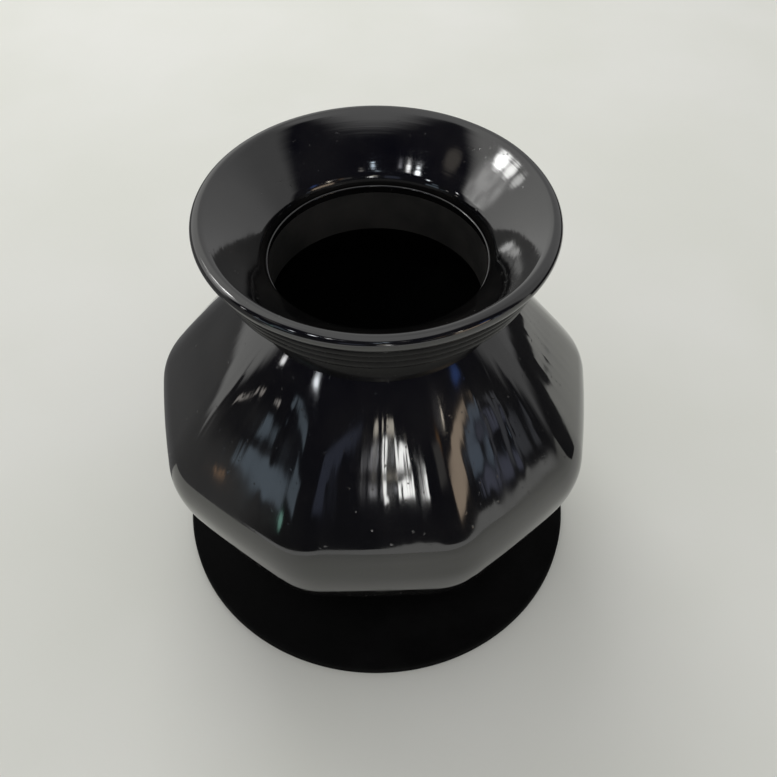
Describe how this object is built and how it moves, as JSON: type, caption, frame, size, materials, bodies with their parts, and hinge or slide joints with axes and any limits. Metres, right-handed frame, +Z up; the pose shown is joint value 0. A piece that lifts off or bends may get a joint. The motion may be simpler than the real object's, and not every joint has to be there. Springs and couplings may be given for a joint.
{
  "type": "clay pot",
  "caption": "Burnished black clay pot with a flared mouth, ringed lip and flat-panelled belly, resting on a low round matt black stand.",
  "frame": {"origin": "on the floor under the pot's axis, at the middle of the stand's underside", "axes": "+Z up along the pot's axis, the side that faces the viewer is -Y"},
  "size_m": [0.1182, 0.1183, 0.1179],
  "materials": {
    "burnished_clay": "burnished to a graphite-like gloss outside and on the mouth, matt inside",
    "matt_black": "matt, unburnished"
  },
  "bodies": {
    "stand": {"round_stand": "matt_black"},
    "pot": {"lower_bowl": "burnished_clay", "lobed_shoulder": "burnished_clay", "neck_ring": "burnished_clay", "flared_mouth": "burnished_clay", "lip_collar": "burnished_clay"}
  },
  "joints": [
    {"name": "pot_lift", "type": "slide", "parent": "stand", "child": "pot", "axis": [0, 0, 1], "range_m": [0, 0.03]}
  ]
}
